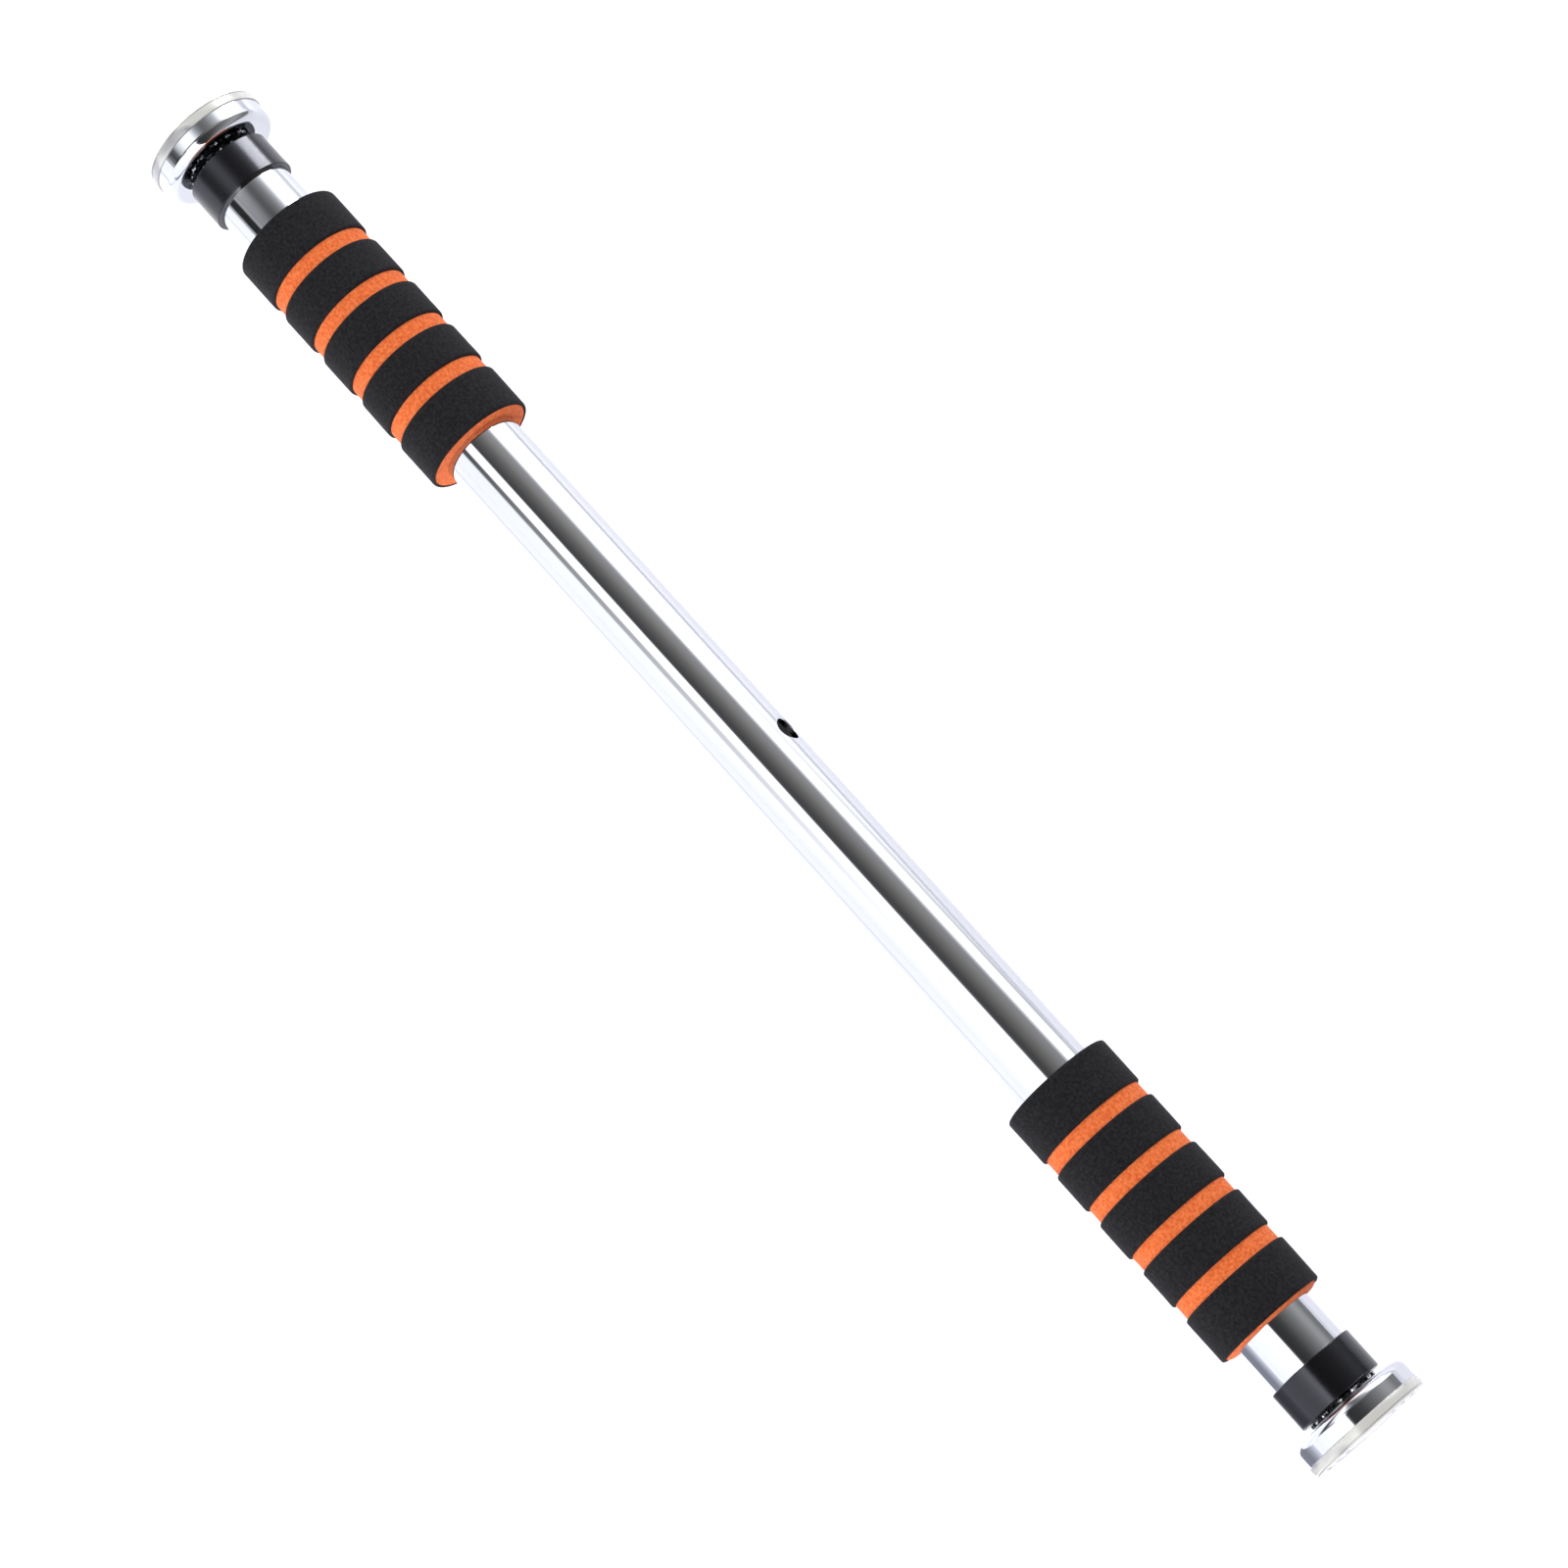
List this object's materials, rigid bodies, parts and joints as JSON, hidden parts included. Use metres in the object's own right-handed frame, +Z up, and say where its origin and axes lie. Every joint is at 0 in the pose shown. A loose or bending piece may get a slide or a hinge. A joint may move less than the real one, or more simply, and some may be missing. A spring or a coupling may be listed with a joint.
{
  "type": "pull up bar",
  "caption": "Doorway pull up bar: chromed steel tube with foam hand grips, held between two jambs by rubber-padded cups on screw feet.",
  "frame": {"origin": "the middle of the bar, on the tube's axis", "axes": "+X along the bar towards the right-hand foot, +Z up, +Y away from the user"},
  "size_m": [0.6634, 0.0512, 0.0512],
  "materials": {
    "chrome": "bright chrome plate on steel",
    "zinc_steel": "zinc plated, turned",
    "collar_plastic": "moulded, half gloss",
    "nylon": "natural, turned",
    "pad_rubber": "moulded, translucent, half gloss",
    "orange_foam": "closed-cell foam, matt",
    "black_foam": "closed-cell foam, matt"
  },
  "bodies": {
    "tube": {"main_tube": "chrome", "left_collar": "collar_plastic", "left_nut": "zinc_steel", "left_nut_pins": "zinc_steel", "left_grip_core": "orange_foam", "left_grip_band_1": "black_foam", "left_grip_band_2": "black_foam", "left_grip_band_3": "black_foam", "left_grip_band_4": "black_foam", "left_grip_band_5": "black_foam", "right_collar": "collar_plastic", "right_nut": "zinc_steel", "right_nut_pins": "zinc_steel", "right_grip_core": "orange_foam", "right_grip_band_1": "black_foam", "right_grip_band_2": "black_foam", "right_grip_band_3": "black_foam", "right_grip_band_4": "black_foam", "right_grip_band_5": "black_foam"},
    "left_guide": {"left_guide": "nylon"},
    "left_foot": {"left_spindle": "zinc_steel", "left_lock_ring": "zinc_steel", "left_guide_washer": "zinc_steel", "left_guide_screw": "zinc_steel", "left_cup": "chrome", "left_cup_washer": "zinc_steel", "left_cup_screw": "zinc_steel", "left_pad": "pad_rubber"},
    "right_guide": {"right_guide": "nylon"},
    "right_foot": {"right_spindle": "zinc_steel", "right_lock_ring": "zinc_steel", "right_guide_washer": "zinc_steel", "right_guide_screw": "zinc_steel", "right_cup": "chrome", "right_cup_washer": "zinc_steel", "right_cup_screw": "zinc_steel", "right_pad": "pad_rubber"}
  },
  "joints": [
    {"name": "left_foot_travel", "type": "slide", "parent": "tube", "child": "left_guide", "axis": [-1, 0, 0], "range_m": [-0.0002, 0.076]},
    {"name": "left_foot_turn", "type": "hinge", "parent": "left_guide", "child": "left_foot", "pos_m": [0, 0, 0], "axis": [1, 0, 0], "range_deg": [-18, 6840]},
    {"name": "right_foot_travel", "type": "slide", "parent": "tube", "child": "right_guide", "axis": [1, 0, 0], "range_m": [-0.0002, 0.076]},
    {"name": "right_foot_turn", "type": "hinge", "parent": "right_guide", "child": "right_foot", "pos_m": [0, 0, 0], "axis": [1, 0, 0], "range_deg": [-18, 6840]}
  ],
  "couplings": [
    {"joint": "left_foot_travel", "follows": "left_foot_turn", "m_per_rad": 0.00063662},
    {"joint": "right_foot_travel", "follows": "right_foot_turn", "m_per_rad": 0.00063662}
  ]
}
